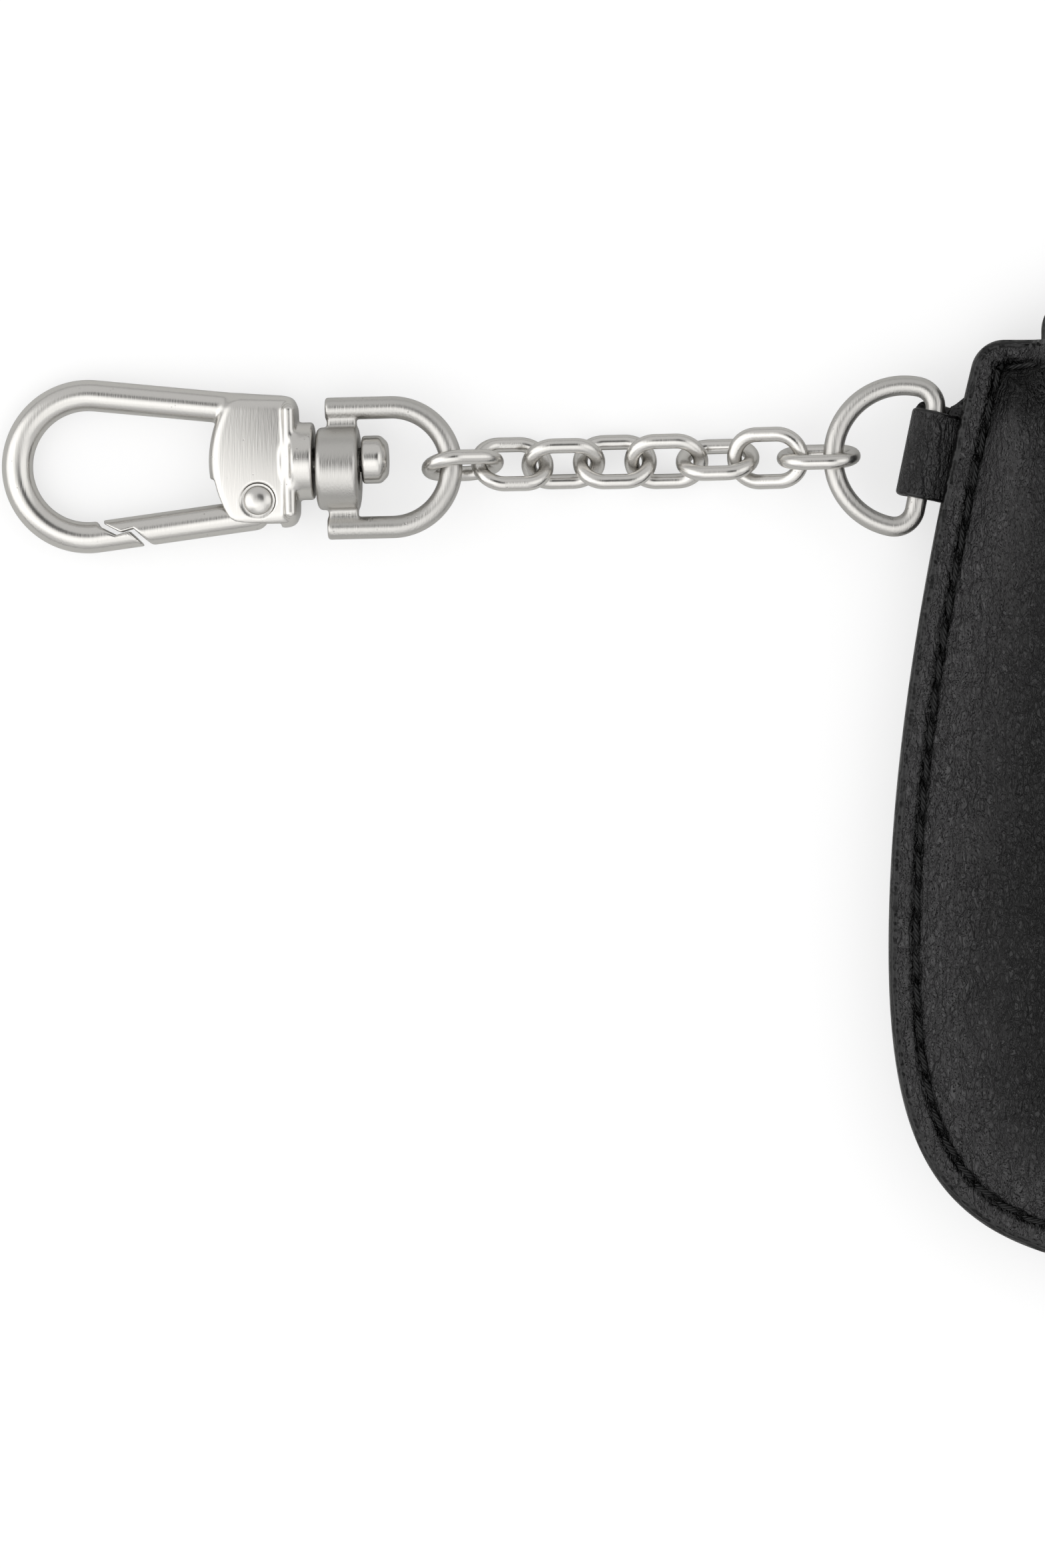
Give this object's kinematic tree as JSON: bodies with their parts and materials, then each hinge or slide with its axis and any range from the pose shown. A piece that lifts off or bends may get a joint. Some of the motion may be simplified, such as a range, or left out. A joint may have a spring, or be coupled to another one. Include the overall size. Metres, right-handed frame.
{
  "type": "wallet",
  "caption": "Zip-top leather pouch wallet lying on its back, with a side tab, D-ring, short cable chain and swivel snap hook.",
  "frame": {"origin": "centre of the flat back of the pouch, on the surface it lies on", "axes": "+X to the wallet's right, away from the chain; +Y towards the zip edge; +Z out of the front panel"},
  "size_m": [0.2046, 0.0985, 0.0137],
  "materials": {
    "leather": "black pebbled semi-gloss leather with painted edges",
    "lining": "black twill lining",
    "tape": "black woven zip tape",
    "thread": "black waxed twisted thread",
    "zip_metal": "satin nickel zip parts",
    "satin_nickel": "satin brushed nickel plate",
    "spring_steel": "bright drawn spring wire"
  },
  "bodies": {
    "wallet": {"back_panel": "leather", "front_panel": "leather", "back_lining": "lining", "front_lining": "lining", "card_pocket": "leather", "front_thread": "thread", "back_thread": "thread", "zip_teeth_front": "zip_metal", "zip_teeth_back": "zip_metal", "zip_tape_front": "tape", "zip_tape_back": "tape", "zip_stop_left": "zip_metal", "zip_stop_right": "zip_metal", "side_tab": "leather"},
    "slider": {"zip_slider": "zip_metal"},
    "pull": {"pull_ring": "zip_metal", "leather_pull": "leather"},
    "ring": {"d_ring": "satin_nickel"},
    "link_8": {"chain_link_8": "satin_nickel"},
    "link_7": {"chain_link_7": "satin_nickel"},
    "link_6": {"chain_link_6": "satin_nickel"},
    "link_5": {"chain_link_5": "satin_nickel"},
    "link_4": {"chain_link_4": "satin_nickel"},
    "link_3": {"chain_link_3": "satin_nickel"},
    "link_2": {"chain_link_2": "satin_nickel"},
    "link_1": {"chain_link_1": "satin_nickel"},
    "bail": {"swivel_bail": "satin_nickel"},
    "hook": {"snap_hook": "satin_nickel", "gate_rivet": "satin_nickel", "gate_spring": "spring_steel"},
    "gate": {"hook_gate": "satin_nickel"}
  },
  "joints": [
    {"name": "zip_slide", "type": "slide", "parent": "wallet", "child": "slider", "axis": [1, 0, 0], "range_m": [0, 0.0742]},
    {"name": "pull_flip", "type": "hinge", "parent": "slider", "child": "pull", "pos_m": [-0.0373, 0.04435, 0.0063], "axis": [1, 0, 0], "range_deg": [-22, 5]},
    {"name": "ring_hinge", "type": "hinge", "parent": "wallet", "child": "ring", "pos_m": [-0.05438, 0.03495, 0.0056], "axis": [0.2011, 0.9796, 0], "range_deg": [-70, 70]},
    {"name": "link_8_hinge", "type": "hinge", "parent": "ring", "child": "link_8", "pos_m": [-0.06352, 0.03537, 0.00513], "axis": [-0.0003, -0.9999, 0.0105], "range_deg": [-45, 45]},
    {"name": "link_7_hinge", "type": "hinge", "parent": "link_8", "child": "link_7", "pos_m": [-0.06841, 0.03526, 0.0047], "axis": [0.0796, 0.2269, -0.9707], "range_deg": [-45, 45]},
    {"name": "link_6_hinge", "type": "hinge", "parent": "link_7", "child": "link_6", "pos_m": [-0.07337, 0.03514, 0.00337], "axis": [0.0833, -0.9707, -0.2255], "range_deg": [-45, 45]},
    {"name": "link_5_hinge", "type": "hinge", "parent": "link_6", "child": "link_5", "pos_m": [-0.07847, 0.03502, 0.00274], "axis": [-0.0878, -0.5614, 0.8229], "range_deg": [-45, 45]},
    {"name": "link_4_hinge", "type": "hinge", "parent": "link_5", "child": "link_4", "pos_m": [-0.0836, 0.0349, 0.00247], "axis": [-0.0493, 0.8182, 0.5728], "range_deg": [-45, 45]},
    {"name": "link_3_hinge", "type": "hinge", "parent": "link_4", "child": "link_3", "pos_m": [-0.08874, 0.03478, 0.00256], "axis": [-0.0293, 0.8187, -0.5735], "range_deg": [-45, 45]},
    {"name": "link_2_hinge", "type": "hinge", "parent": "link_3", "child": "link_2", "pos_m": [-0.09387, 0.03465, 0.00292], "axis": [-0.0303, -0.7323, -0.6803], "range_deg": [-45, 45]},
    {"name": "link_1_hinge", "type": "hinge", "parent": "link_2", "child": "link_1", "pos_m": [-0.09888, 0.03454, 0.00403], "axis": [0.1448, -0.8109, 0.5669], "range_deg": [-45, 45]},
    {"name": "bail_hinge", "type": "hinge", "parent": "link_1", "child": "bail", "pos_m": [-0.10369, 0.03442, 0.00583], "axis": [0.3234, 0.3333, 0.8856], "range_deg": [-40, 20]},
    {"name": "hook_swivel", "type": "hinge", "parent": "bail", "child": "hook", "pos_m": [-0.11289, 0.03501, 0.00424], "axis": [0.997, 0.0235, 0.0732], "continuous": true},
    {"name": "gate_hinge", "type": "hinge", "parent": "hook", "child": "gate", "pos_m": [-0.12074, 0.031, 0.00366], "axis": [0.0732, 0.0017, -0.9973], "range_deg": [0, 22], "stiffness_Nm_per_rad": 0.01, "springref_deg": -11.46}
  ]
}
